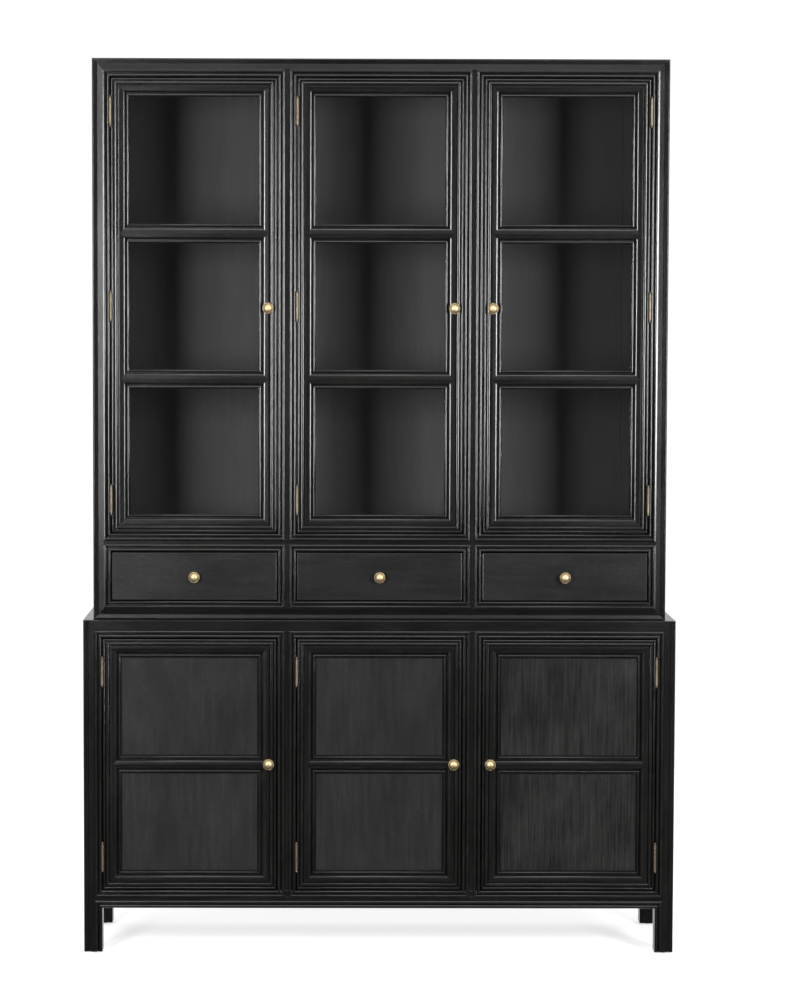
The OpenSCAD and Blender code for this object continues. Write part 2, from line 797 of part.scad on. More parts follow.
base_front_legs();
base_rear_legs();
leg_glides();
base_front_rails();
base_mullions();
base_side_panels();
base_side_rails();
base_back_panel();
base_top_board();
base_bottom_board();
base_dividers();
base_shelves();
hutch_stiles();
hutch_mullions();
hutch_front_rails();
hutch_side_panels();
hutch_top_board();
hutch_bottom_board();
hutch_deck();
hutch_back_posts();
hutch_back_panel();
hutch_shelves();
drawer_dividers();
drawer_runners();
hinge_frame_leaves();
hinge_pins();
bullet_catches();
for (i = [0:2]) {
    hutch_door = str("hutch_door_", SIDES[i], "_");
    base_door = str("base_door_", SIDES[i], "_");
    drawer = str("drawer_", SIDES[i], "_");
    hutch_door_frame(i);
    hutch_door_glass(i);
    hutch_door_knob(i);
    hutch_door_hinge_leaves(i);
    base_door_frame(i);
    base_door_panels(i);
    base_door_knob(i);
    base_door_hinge_leaves(i);
    drawer_front(i);
    drawer_box(i);
    drawer_knob(i);
}
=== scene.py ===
"""Looks for the display cabinet: mouldings, doors, drawers and ironmongery round the CAD frame.

Lengths are in millimetres until a mesh is made. An opening or door is [left, right, bottom, top].
A moulding is a list of (u, v, rub): u across it, v back from the face, rub how worn it is.
"""
import math
import random

import bmesh
import bpy
from mathutils import Euler, Matrix, Vector


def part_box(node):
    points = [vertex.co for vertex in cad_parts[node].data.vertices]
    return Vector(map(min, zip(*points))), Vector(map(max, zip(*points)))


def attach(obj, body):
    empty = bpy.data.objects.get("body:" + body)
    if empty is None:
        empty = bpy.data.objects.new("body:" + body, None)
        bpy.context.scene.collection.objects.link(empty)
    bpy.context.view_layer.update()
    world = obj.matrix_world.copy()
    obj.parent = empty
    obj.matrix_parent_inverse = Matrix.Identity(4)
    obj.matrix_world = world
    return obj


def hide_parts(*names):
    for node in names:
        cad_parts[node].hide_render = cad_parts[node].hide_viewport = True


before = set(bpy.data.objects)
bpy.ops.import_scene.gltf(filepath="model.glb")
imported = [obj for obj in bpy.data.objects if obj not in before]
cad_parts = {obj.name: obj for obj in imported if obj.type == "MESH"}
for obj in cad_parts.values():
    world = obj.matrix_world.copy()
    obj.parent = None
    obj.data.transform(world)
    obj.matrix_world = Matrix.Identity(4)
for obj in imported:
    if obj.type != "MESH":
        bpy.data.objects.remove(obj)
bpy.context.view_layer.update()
MM = 0.001
SIDES = ("left", "centre", "right")
chance = random.Random(11)


# ---- Sizes, from the CAD frame ----

def limits(node):
    """A node's box in millimetres: (x0, y0, z0), (x1, y1, z1)."""
    low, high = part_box(node)
    return tuple(c / MM for c in low), tuple(c / MM for c in high)


def front_of(node):
    """A node's front as [left, right, bottom, top]."""
    low, high = limits(node)
    return [low[0], high[0], low[2], high[2]]


def grown(rect, d):
    return [rect[0] - d, rect[1] + d, rect[2] - d, rect[3] + d]


# Gap round each door and drawer, and the thickness of doors and face frames
GAP = 2
DOOR_T = 22
FRAME_T = 24
# Where the two face frames' foremost planes are in Y, and how wide and high the frames are
HUTCH_FACE = limits("hutch_stiles")[0][1]
BASE_FACE = limits("base_front_legs")[0][1]
HUTCH = front_of("hutch_stiles")
BASE = front_of("base_front_legs")
LEG_D = limits("base_front_legs")[1][1] - BASE_FACE
GLASS_DOORS = [front_of(f"hutch_door_{s}_frame") for s in SIDES]
PANEL_DOORS = [front_of(f"base_door_{s}_frame") for s in SIDES]
DRAWERS = [front_of(f"drawer_{s}_front") for s in SIDES]
DOOR_HOLES = [grown(r, GAP) for r in GLASS_DOORS]
DRAWER_HOLES = [grown(r, GAP) for r in DRAWERS]
BASE_HOLES = [grown(r, GAP) for r in PANEL_DOORS]
# The frame's moulding under the base's bottom rail runs round this opening
FOOT_HOLE = [BASE_HOLES[0][0], BASE_HOLES[2][1], 0, limits("base_front_rails")[0][2]]
MULLION_X = (DOOR_HOLES[1][1] + DOOR_HOLES[2][0]) / 2
# Widths of the moulding round an opening, and of a door's moulding beside its glass or panel
MOULD = 19.5
SIGHT_W = 24
# The depths that the groove for the glass or panel spans, how far it goes in, and its play
GLASS_V = (13.5, 17.7)
PANEL_V = (11, 19.2)
HELD = 6.6
PLAY = 0.6


# ---- Materials ----

# How much the roughness of wood varies from place to place
CLOUDY = 0.12


def new_material(name):
    """A material with its principled shader, and a function that adds a node."""
    mat = bpy.data.materials.new(name)
    mat.use_nodes = True
    tree = mat.node_tree
    tree.nodes.clear()

    def add(kind, **inputs):
        node = tree.nodes.new(kind)
        for key, value in inputs.items():
            socket = node.inputs[int(key[1:])] if key[0] == "i" and key[1:].isdigit() else None
            socket = socket or node.inputs[key.replace("_", " ")]
            if isinstance(value, bpy.types.NodeSocket):
                tree.links.new(value, socket)
            else:
                socket.default_value = value
        return node

    shader = add("ShaderNodeBsdfPrincipled")
    out = add("ShaderNodeOutputMaterial")
    tree.links.new(shader.outputs[0], out.inputs[0])
    return mat, add, shader, tree


def ramp(add, fac, stops):
    """A colour ramp from its stops, (place, colour); the first two are the ones it starts with."""
    node = add("ShaderNodeValToRGB", Fac=fac)
    for element, (place, colour) in zip(node.color_ramp.elements, stops):
        element.position = place
        element.color = colour
    for place, colour in stops[2:]:
        node.color_ramp.elements.new(place).color = colour
    return node.outputs[0]


def math_node(add, kind, *values):
    node = add("ShaderNodeMath", **{f"i{i}": v for i, v in enumerate(values)})
    node.operation = kind
    return node.outputs[0]


def mix_colour(add, fac, a, b):
    node = add("ShaderNodeMix")
    node.data_type = "RGBA"
    tree = node.id_data
    for key, value in (("Factor_Float", fac), ("A_Color", a), ("B_Color", b)):
        socket = next(s for s in node.inputs if s.identifier == key)
        if isinstance(value, bpy.types.NodeSocket):
            tree.links.new(value, socket)
        else:
            socket.default_value = value
    return next(s for s in node.outputs if s.identifier == "Result_Color")


def grain_coords(add, along, fine, coarse):
    """Coordinates stretched along the grain: the sticks' own map, or one of the object's axes."""
    if along == "map":
        source = add("ShaderNodeUVMap")
        source.uv_map = "Grain"
        vector = source.outputs[0]
    else:
        vector = add("ShaderNodeTexCoord").outputs["Object"]
    scale = [fine] * 3
    scale["xyz".find(along) if along != "map" else 0] = coarse
    return add("ShaderNodeMapping", Vector=vector, Scale=scale).outputs[0]


def grey(level):
    return (level, level, level, 1)


def wood(name, dark, pale, worn, roughness, along, depth=0.00003, open_grain=0.5, fine=85):
    """Stained or lacquered wood: long grain, pores, cloudy sheen, paler where it is rubbed.

    fine is how closely its figure is spaced, depth is the bump's, and open_grain is how dark
    the pores are.
    """
    mat, add, shader, tree = new_material(name)

    def noise(spacing, detail, uneven=0.6):
        coords = grain_coords(add, along, *spacing)
        return add("ShaderNodeTexNoise", Vector=coords, Scale=1.0, Detail=detail,
                   Roughness=uneven).outputs[0]

    figure = noise((fine, 7), 5)
    pore = noise((1300, 45), 3)
    clouds = noise((9, 5), 4)
    scuffs = noise((240, 28), 5, 0.7)
    pore_mask = ramp(add, pore, [(0.32, grey(0)), (0.45, grey(1))])
    pores = math_node(add, "SUBTRACT", 1.0, pore_mask)
    tone = math_node(add, "MULTIPLY_ADD", clouds, 0.7,
                     math_node(add, "MULTIPLY_ADD", figure, 0.9, -0.3))
    streak = ramp(add, tone, [(0.36, dark), (0.68, pale)])
    shade = mix_colour(add, math_node(add, "MULTIPLY", pores, open_grain), streak,
                       tuple(c * 0.4 for c in dark[:3]) + (1,))
    if along == "map":
        rub = add("ShaderNodeAttribute")
        rub.attribute_name = "rub"
        crest = rub.outputs["Fac"]
        high = math_node(add, "MULTIPLY", ramp(add, crest, [(0.7, grey(0)), (1.0, grey(1))]),
                         ramp(add, scuffs, [(0.5, grey(0.06)), (0.72, grey(0.8))]))
        shade = mix_colour(add, high, shade, worn)
        low = ramp(add, crest, [(0.0, grey(0.3)), (0.35, grey(1))])
        dulled = math_node(add, "MULTIPLY", math_node(add, "SUBTRACT", 1.0, low), 0.12)
    else:
        high = ramp(add, scuffs, [(0.7, grey(0)), (0.85, grey(0.4))])
        shade = mix_colour(add, high, shade, worn)
        dulled = 0.0
    sheen = math_node(add, "MULTIPLY_ADD", clouds, CLOUDY, roughness - CLOUDY / 2)
    rough = math_node(add, "ADD", sheen, dulled)
    rough = math_node(add, "MULTIPLY_ADD", pores, 0.1, rough)
    height = math_node(add, "MULTIPLY_ADD", figure, 0.2,
                       math_node(add, "MULTIPLY", pore_mask, 0.3))
    bump = add("ShaderNodeBump", Height=height, Distance=depth, Strength=0.6)
    tree.links.new(shade, shader.inputs["Base Color"])
    tree.links.new(rough, shader.inputs["Roughness"])
    tree.links.new(bump.outputs[0], shader.inputs["Normal"])
    return mat


def brass(name, pale, deep, roughness, tarnish):
    """Brass that darkens in cloudy patches, with fine polishing lines."""
    mat, add, shader, tree = new_material(name)
    place = add("ShaderNodeTexCoord").outputs["Object"]
    cloud = add("ShaderNodeTexNoise", Vector=place, Scale=90, Detail=5, Roughness=0.6)
    fine = add("ShaderNodeTexNoise", Vector=place, Scale=900, Detail=2, Roughness=0.6)
    turned = add("ShaderNodeMapping", Vector=place, Scale=(60, 60, 2600)).outputs[0]
    lines = add("ShaderNodeTexNoise", Vector=turned, Scale=1.0, Detail=2)
    rub = add("ShaderNodeAttribute")
    rub.attribute_name = "rub"
    patches = ramp(add, cloud.outputs[0], [(0.35, grey(0)), (0.75, grey(1))])
    aged = math_node(add, "MULTIPLY", patches, tarnish)
    hollow = math_node(add, "MULTIPLY", math_node(add, "SUBTRACT", 1.0, rub.outputs["Fac"]), 0.75)
    aged = math_node(add, "MAXIMUM", aged, hollow)
    colour = mix_colour(add, aged, pale, deep)
    rough = math_node(add, "MULTIPLY_ADD", aged, 0.25, roughness)
    rough = math_node(add, "MULTIPLY_ADD", fine.outputs[0], 0.1, rough)
    bump = add("ShaderNodeBump", Height=lines.outputs[0], Distance=0.00004, Strength=0.5)
    tree.links.new(colour, shader.inputs["Base Color"])
    tree.links.new(rough, shader.inputs["Roughness"])
    tree.links.new(bump.outputs[0], shader.inputs["Normal"])
    shader.inputs["Metallic"].default_value = 1.0
    return mat


def clear_glass():
    """A thin clear pane: mostly see-through, with a mirror of the room that grows at a slant."""
    mat, add, shader, tree = new_material("clear_glass")
    tree.nodes.remove(shader)
    place = add("ShaderNodeTexCoord").outputs["Object"]
    ripple = add("ShaderNodeTexNoise", Vector=place, Scale=3.5, Detail=2, Roughness=0.4)
    smears = add("ShaderNodeTexNoise", Vector=place, Scale=14, Detail=5, Roughness=0.6)
    bump = add("ShaderNodeBump", Height=ripple.outputs[0], Distance=0.0004, Strength=0.2)
    rough = math_node(add, "MULTIPLY_ADD", smears.outputs[0], 0.05, 0.02)
    see = add("ShaderNodeBsdfTransparent", Color=(0.955, 0.962, 0.958, 1))
    gloss = add("ShaderNodeBsdfAnisotropic", Color=grey(1), Roughness=rough,
                Normal=bump.outputs[0])
    slant = add("ShaderNodeFresnel", IOR=1.5)
    both = add("ShaderNodeMixShader", i0=slant.outputs[0], i1=see.outputs[0], i2=gloss.outputs[0])
    out = next(n for n in tree.nodes if n.type == "OUTPUT_MATERIAL")
    tree.links.new(both.outputs[0], out.inputs[0])
    return mat


def plastic(name, colour, roughness):
    """Moulded plastic with a fine texture."""
    mat, add, shader, tree = new_material(name)
    place = add("ShaderNodeTexCoord").outputs["Object"]
    fine = add("ShaderNodeTexNoise", Vector=place, Scale=1400, Detail=3)
    deep = tuple(c * 0.8 for c in colour)
    tint = ramp(add, fine.outputs[0], [(0.3, deep + (1,)), (0.7, colour + (1,))])
    rough = math_node(add, "MULTIPLY_ADD", fine.outputs[0], 0.15, roughness)
    tree.links.new(tint, shader.inputs["Base Color"])
    tree.links.new(rough, shader.inputs["Roughness"])
    bump = add("ShaderNodeBump", Height=fine.outputs[0], Distance=0.00005, Strength=0.4)
    tree.links.new(bump.outputs[0], shader.inputs["Normal"])
    return mat


# The mouldings; the panels; the right base door's panels, whose streaks are stronger; the
# drawer fronts; the boards inside and behind; the drawers' boxes
BLACK = dict(dark=(0.0020, 0.0020, 0.0019, 1), pale=(0.0046, 0.0045, 0.0043, 1),
             worn=(0.018, 0.016, 0.013, 1), roughness=0.19, depth=0.000003)
PANEL = dict(dark=(0.0094, 0.0094, 0.0092, 1), pale=(0.0148, 0.0147, 0.0143, 1),
             worn=(0.024, 0.023, 0.021, 1), roughness=0.22)
GRAINY = dict(dark=(0.0052, 0.0052, 0.0050, 1), pale=(0.0165, 0.0163, 0.0158, 1),
              worn=(0.026, 0.025, 0.022, 1), roughness=0.22, fine=190)
FRONT = dict(dark=(0.0064, 0.0064, 0.0062, 1), pale=(0.0112, 0.0111, 0.0108, 1),
             worn=(0.024, 0.023, 0.021, 1), roughness=0.22)
STAIN = dict(dark=(0.0052, 0.0051, 0.0050, 1), pale=(0.0124, 0.0122, 0.0120, 1),
             worn=(0.034, 0.033, 0.031, 1), roughness=0.6)
PINE = dict(dark=(0.30, 0.175, 0.085, 1), pale=(0.50, 0.33, 0.18, 1),
            worn=(0.56, 0.40, 0.24, 1), roughness=0.6, depth=0.00025, open_grain=0.25)
black_stick = wood("black_wood_moulded", along="map", **BLACK)
black_panel = wood("black_wood_panel", along="map", **PANEL)
black_grain = wood("black_wood_grainy", along="map", **GRAINY)
black_front = wood("black_wood_front", along="map", **FRONT)
black_up = wood("black_wood_upright", along="z", **BLACK)
black_across = wood("black_wood_across", along="x", **BLACK)
stain_up = wood("stained_board_upright", along="z", **STAIN)
stain_across = wood("stained_board_across", along="x", **STAIN)
stain_back = wood("stained_board_front_to_back", along="y", **STAIN)
drawer_wood = wood("drawer_wood", along="map", **PINE)
knob_brass = brass("knob_brass", (0.56, 0.44, 0.26, 1), (0.26, 0.18, 0.085, 1), 0.4, 0.5)
hinge_brass = brass("hinge_brass", (0.19, 0.155, 0.112, 1), (0.065, 0.042, 0.024, 1), 0.36, 0.6)
glass = clear_glass()
glide_plastic = plastic("glide_plastic", (0.24, 0.22, 0.19), 0.45)


# ---- Mesh building ----

# Edges that turn by more than this many degrees are shaded as sharp
SHARP_MOULDING = 30
SHARP_BOARD = 12
SHARP_BRASS = 40


class Part:
    """Gathers one piece's solids, with the grain's map and the rub value of each point."""

    def __init__(self):
        self.points = []
        self.faces = []
        self.grain = []
        self.rub = []

    def add(self, points, faces, grain, rub):
        first = len(self.points)
        self.points += points
        self.grain += grain
        self.rub += rub
        self.faces += [[first + i for i in face] for face in faces]

    def done(self, name, body, nodes, material, slot, sharp=SHARP_MOULDING):
        """Makes the object, lets it ride on its body and stand for its CAD nodes."""
        mesh = bpy.data.meshes.new(name)
        mesh.from_pydata([[c * MM for c in p] for p in self.points], [], self.faces)
        build = bmesh.new()
        build.from_mesh(mesh)
        bmesh.ops.recalc_face_normals(build, faces=build.faces)
        build.to_mesh(mesh)
        build.free()
        uv = mesh.uv_layers.new(name="Grain")
        corners = [0] * len(mesh.loops)
        mesh.loops.foreach_get("vertex_index", corners)
        uv.data.foreach_set("uv", [c for i in corners for c in self.grain[i]])
        worn = mesh.attributes.new("rub", "FLOAT", "POINT")
        worn.data.foreach_set("value", self.rub)
        mesh.shade_smooth()
        mesh.set_sharp_from_angle(angle=math.radians(sharp))
        obj = bpy.data.objects.new(name, mesh)
        bpy.context.scene.collection.objects.link(obj)
        obj.data.materials.append(material)
        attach(obj, body)
        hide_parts(*nodes)


def grain_shift():
    """Each stick and board is cut from its own place in the wood, given in metres."""
    return chance.uniform(0, 40), chance.uniform(0, 40)


# The ends of a moulding are eased over this length, and back by this much
EASE = 0.45
EASE_V = 0.28
# How worn the hidden back of a moulding is
BACK_RUB = 0.3


def stick(part, profile, face, along, fixed, sign, start, end, loop, ends=(1, 1)):
    """One length of moulding. It runs along "x" or "z" and u goes from fixed by sign.

    start and end give where each u begins and stops. loop closes the section behind the profile.
    Its ends fall back a little where ends is 1, so that each joint shows as a hairline.
    """
    section = list(profile) + [(u, v, BACK_RUB) for u, v in loop]
    shift = grain_shift()
    front = len(profile)
    rows = []
    stations = ((0, 0, ends[0]), (0, EASE, 0), (0.5, 0, 0), (1, -EASE, 0), (1, 0, ends[1]))
    for share, step, back in stations:
        row = []
        for i, (u, v, rub) in enumerate(section):
            at = start(u) + (end(u) - start(u)) * share + step
            drop = EASE_V * back if i < front else 0
            row.append((at, fixed + sign * u, face + v + drop, rub))
        rows.append(row)
    n = len(section)
    points = []
    grain = []
    rub = []
    for row in rows:
        travel = 0.0
        for i, (at, across, y, worn) in enumerate(row):
            if i:
                travel += math.hypot(across - row[i - 1][1], y - row[i - 1][2])
            points.append((at, y, across) if along == "x" else (across, y, at))
            grain.append((at * MM + shift[0], travel * MM + shift[1]))
            rub.append(worn)
    last = len(rows) - 1
    faces = [list(range(n)), list(range(last * n, (last + 1) * n))]
    for r in range(last):
        for i in range(n):
            j = (i + 1) % n
            faces.append([r * n + i, r * n + j, (r + 1) * n + j, (r + 1) * n + i])
    part.add(points, faces, grain, rub)


def board(part, low, high, grain, r=0.9, rub=0.5):
    """A board with edges eased by r; grain is the axis that its grain runs along."""
    build = bmesh.new()
    bmesh.ops.create_cube(build, size=1)
    centre = [(a + b) / 2 for a, b in zip(low, high)]
    size = [b - a for a, b in zip(low, high)]
    for vert in build.verts:
        vert.co = Vector(c + s * k for c, s, k in zip(centre, size, vert.co))
    bmesh.ops.bevel(build, geom=build.edges[:], offset=min(r, min(size) * 0.3), segments=2,
                    profile=0.6, affect="EDGES")
    shift = grain_shift()
    others = [a for a in range(3) if a != grain]
    points = [tuple(v.co) for v in build.verts]
    on_face = [any(min(abs(p[a] - low[a]), abs(p[a] - high[a])) < 1e-4 for a in range(3))
               for p in points]
    faces = [[v.index for v in f.verts] for f in build.faces]
    build.free()
    maps = [(p[grain] * MM + shift[0], (p[others[0]] + p[others[1]]) * MM + shift[1])
            for p in points]
    part.add(points, faces, maps, [rub if on else 1.0 for on in on_face])


def lathe(part, outline, centre, axis, steps):
    """Turns an outline of (radius, height, rub) round an axis that starts at centre."""
    turn = Vector((0, 0, 1)).rotation_difference(Vector(axis)).to_matrix()
    points = []
    rub = []
    for radius, height, worn in outline:
        for k in range(steps):
            a = 2 * math.pi * k / steps
            p = Vector((radius * math.cos(a), radius * math.sin(a), height))
            points.append(tuple(turn @ p + Vector(centre)))
            rub.append(worn)
    faces = [list(range(steps)), list(range((len(outline) - 1) * steps, len(outline) * steps))]
    for r in range(len(outline) - 1):
        for k in range(steps):
            m = (k + 1) % steps
            faces.append([r * steps + k, r * steps + m, (r + 1) * steps + m, (r + 1) * steps + k])
    part.add(points, faces, [(0, 0)] * len(points), rub)


# ---- Moulding sections ----

def bead(u, w, v, rise, t0=0, t1=180, steps=12):
    """A round bead from u, w wide, that stands rise proud of v."""
    return [(u + w * (1 - math.cos(t)) / 2, v - rise * math.sin(t), 0.35 + 0.65 * math.sin(t) ** 3)
            for t in (math.radians(t0 + (t1 - t0) * k / steps) for k in range(steps + 1))]


def fall(u0, v0, u1, v1, power, steps, rub=0.6):
    """A fall from (u0, v0) to (u1, v1), straight where power is 1 and rounder above it."""
    return [(u0 + (u1 - u0) * k / steps, v0 + (v1 - v0) * (k / steps) ** power, rub)
            for k in range(1, steps + 1)]


def quarter(u0, v0, u1, v1, steps):
    """A convex quarter round that rises steeply at (u0, v0) and is level at (u1, v1)."""
    return [(u0 + (u1 - u0) * (1 - math.cos(t)), v0 + (v1 - v0) * math.sin(t),
             0.4 + 0.6 * math.sin(t) ** 2)
            for t in (math.radians(90 * k / steps) for k in range(steps + 1))]


def groove(u, w, v):
    """A groove from u, w wide, with its flat bottom at v."""
    return [(u, v, 0), (u + w, v, 0)]


def mirrored(profile, width):
    """The same section, seen from its other side."""
    return [(width - u, v, rub) for u, v, rub in reversed(profile)]


# Two beads beside an opening; the second falls away to the flat
FIRST_BEAD = bead(0, 9.5, 4.6, 4.6) + groove(9.6, 1.3, 6.5)
TWO_BEADS = FIRST_BEAD + bead(11, 8.5, 3, 3)
# The same, where the second bead's far side is a wide slope that turns at the crest
CREST = (MOULD, 0.7, 0.8)
BEAD_AND_CREST = (FIRST_BEAD + bead(11, 9, 3, 3, 0, 90, 8)
                  + fall(15.5, 0, *CREST[:2], 1.25, 6, 0.8))
# How deep that slope goes beyond the crest, and how deep on the hutch's right stile
BAND_V = 3.2
RIGHT_BAND_V = 4.3
# The outer strip, from the outside edge inwards, and the groove that ends it
STRIP_W = 12.2
STRIP_END = STRIP_W + 1.3
STRIP = (quarter(0, 5.0, 3.2, 1.4, 10) + fall(3.2, 1.4, STRIP_W, 3.15, 1.1, 5)
         + groove(STRIP_W + 0.1, 1.1, 7))


def band(width, depth=BAND_V):
    """The outer part of a hutch stile or rail: the strip, then a slope from depth to the crest."""
    slope = fall(*CREST[:2], width - STRIP_END, depth, 1, 4)
    return STRIP + mirrored([CREST] + slope, width)


def door_edge(width):
    """The outer part of a door's stick, from its edge: bead, valley, bead, groove and face."""
    face = [(18.6, 0.5, 0.8), (19.0, 0.16, 0.9), (19.8, 0.1, 0.7), (width, 0.08, 0.6)]
    return (bead(0, 6.6, 3.4, 2.7) + groove(6.7, 1.2, 6) + bead(8.1, 8.8, 2.1, 2.1)
            + groove(17.0, 1.5, 5.5) + face)


# From the sight edge outwards: bead, groove, round and face
GLASS_SIGHT = (bead(0, 7.6, 7.6, 2.9) + groove(7.7, 1.5, 10) + quarter(9.3, 5.3, 18, 0.5, 14)
               + fall(18, 0.5, SIGHT_W, 0.08, 0.9, 5, 0.7))
PANEL_SIGHT = ([(0, 10.2, 0.2), (0.25, 9.6, 0.4), (2.2, 9.6, 0.3)] + bead(2.5, 7.3, 8.6, 3.2)
               + groove(9.9, 1.4, 10) + quarter(11.4, 7.4, 19.2, 0.5, 14)
               + fall(19.2, 0.5, SIGHT_W, 0.08, 0.9, 5, 0.7))


# ---- Face frames ----

# Depth of the level bands behind the crests of the mouldings
FLAT_V = 3
# How much the crest laps over each mullion's head
LAP = 0.4
# Chamfer on the back edge of a front leg
LEG_EDGE = 1.5


def constant(value):
    """A square end: every u of a moulding begins or stops at the same place."""
    return lambda u: value


def box_loop(profile, depth):
    """Closes a section with a flat back at the given depth."""
    return [(profile[-1][0], depth), (profile[0][0], depth)]


def run_beside(rect, side):
    """A mitred moulding's run along one side of a rectangle: what stick calls along, fixed,
    sign, start and end.
    """
    if side in ("left", "right"):
        along, low, high = "z", rect[2], rect[3]
    else:
        along, low, high = "x", rect[0], rect[1]
    fixed = rect[("left", "right", "bottom", "top").index(side)]
    sign = -1 if side in ("left", "bottom") else 1
    return along, fixed, sign, lambda u: low - u, lambda u: high + u


def beside(part, side, hole, face, profile, floor=None):
    """The moulding on one side of an opening, mitred at both ends, or cut off at the floor."""
    along, fixed, sign, start, end = run_beside(hole, side)
    if floor is not None:
        start = constant(floor)
    stick(part, profile, face, along, fixed, sign, start, end, box_loop(profile, FRAME_T))


def flat_bar(part, face, low, high, reach, v=FLAT_V):
    """The level band between two mouldings, from reach[0] to reach[1] in X."""
    profile = [(0, v, 0.5), (high - low, v, 0.5)]
    stick(part, profile, face, "x", low, 1, constant(reach[0]), constant(reach[1]),
          box_loop(profile, FRAME_T), (0, 0))


def mullion(part, left, right, face):
    """An upright between two openings: moulding, flat and moulding in one piece of wood."""
    width = right[0] - left[1]
    profile = TWO_BEADS + mirrored(TWO_BEADS, width)

    def reach(u):
        return min(u, MOULD, width - u)

    stick(part, profile, face, "z", left[1], 1,
          lambda u: left[2] - reach(u), lambda u: left[3] + reach(u), box_loop(profile, FRAME_T))


def hutch_stile(side):
    i, s = (0, -1) if side == "left" else (2, 1)
    part = Part()
    outer = HUTCH[0] if s < 0 else HUTCH[1]
    width = abs(outer - DOOR_HOLES[i][0 if s < 0 else 1])
    for hole in (DOOR_HOLES[i], DRAWER_HOLES[i]):
        beside(part, side, hole, HUTCH_FACE, BEAD_AND_CREST)
    profile = band(width, BAND_V if side == "left" else RIGHT_BAND_V)
    stick(part, profile, HUTCH_FACE, "z", outer, -s,
          lambda u: HUTCH[2] + u, lambda u: HUTCH[3] - u, box_loop(profile, FRAME_T))
    part.done(f"hutch_stile_{side}", "cabinet", ["hutch_stiles"], black_stick, "black_wood")


def hutch_outer_rail(part, edge, sign, width, stile):
    """The outer part of the hutch's top or bottom rail, mitred into the stiles."""
    profile = band(width)
    reach = stile - MOULD
    stick(part, profile, HUTCH_FACE, "x", edge, sign,
          lambda u: HUTCH[0] + min(u, reach), lambda u: HUTCH[1] - min(u, reach),
          box_loop(profile, FRAME_T))


def hutch_rails():
    stile = DOOR_HOLES[0][0] - HUTCH[0]
    top = Part()
    middle = Part()
    bottom = Part()
    for door, drawer in zip(DOOR_HOLES, DRAWER_HOLES):
        beside(top, "top", door, HUTCH_FACE, BEAD_AND_CREST)
        beside(middle, "bottom", door, HUTCH_FACE, TWO_BEADS)
        beside(middle, "top", drawer, HUTCH_FACE, TWO_BEADS)
        beside(bottom, "bottom", drawer, HUTCH_FACE, BEAD_AND_CREST)
    hutch_outer_rail(top, HUTCH[3], -1, HUTCH[3] - DOOR_HOLES[0][3], stile)
    hutch_outer_rail(bottom, HUTCH[2], 1, DRAWER_HOLES[0][2] - HUTCH[2], stile)
    reach = DOOR_HOLES[2][1] + MOULD
    flat_bar(middle, HUTCH_FACE, DRAWER_HOLES[0][3] + MOULD, DOOR_HOLES[0][2] - MOULD,
             (-reach, reach))
    # The crest over each mullion's head
    crest_z = DOOR_HOLES[0][3] + MOULD
    for left, right in zip(DOOR_HOLES[:2], DOOR_HOLES[1:]):
        flat_bar(top, HUTCH_FACE, crest_z - LAP, crest_z + 1,
                 (left[1] + MOULD - LAP, right[0] - MOULD + LAP), CREST[1])
    for name, part in (("top", top), ("middle", middle), ("bottom", bottom)):
        part.done(f"hutch_rail_{name}", "cabinet", ["hutch_front_rails"], black_stick, "black_wood")


def hutch_mullions():
    for i, name in enumerate(("left", "right")):
        part = Part()
        mullion(part, DOOR_HOLES[i], DOOR_HOLES[i + 1], HUTCH_FACE)
        mullion(part, DRAWER_HOLES[i], DRAWER_HOLES[i + 1], HUTCH_FACE)
        part.done(f"hutch_mullion_{name}", "cabinet", ["hutch_mullions"], black_stick, "black_wood")


def base_leg(side):
    """A front leg: it is also the frame's stile, and its inner moulding runs down to the floor."""
    i, s = (0, -1) if side == "left" else (2, 1)
    inner = BASE_HOLES[i][0 if s < 0 else 1]
    outer = BASE[0] if s < 0 else BASE[1]
    part = Part()
    beside(part, side, BASE_HOLES[i], BASE_FACE, TWO_BEADS)
    beside(part, side, FOOT_HOLE, BASE_FACE, TWO_BEADS, floor=BASE[2])
    width = abs(outer - inner)
    profile = STRIP + [(STRIP_END, FLAT_V, 0.5), (width - MOULD, FLAT_V, 0.5)]
    loop = [(width - MOULD, LEG_D), (LEG_EDGE, LEG_D), (0, LEG_D - LEG_EDGE)]
    stick(part, profile, BASE_FACE, "z", outer, -s, constant(BASE[2]), constant(BASE[3]), loop)
    x = sorted((inner, inner + s * MOULD))
    board(part, (x[0], BASE_FACE + FRAME_T, BASE[2]), (x[1], BASE_FACE + LEG_D, BASE[3]), 2)
    part.done(f"base_front_leg_{side}", "cabinet", ["base_front_legs"], black_stick, "black_wood")


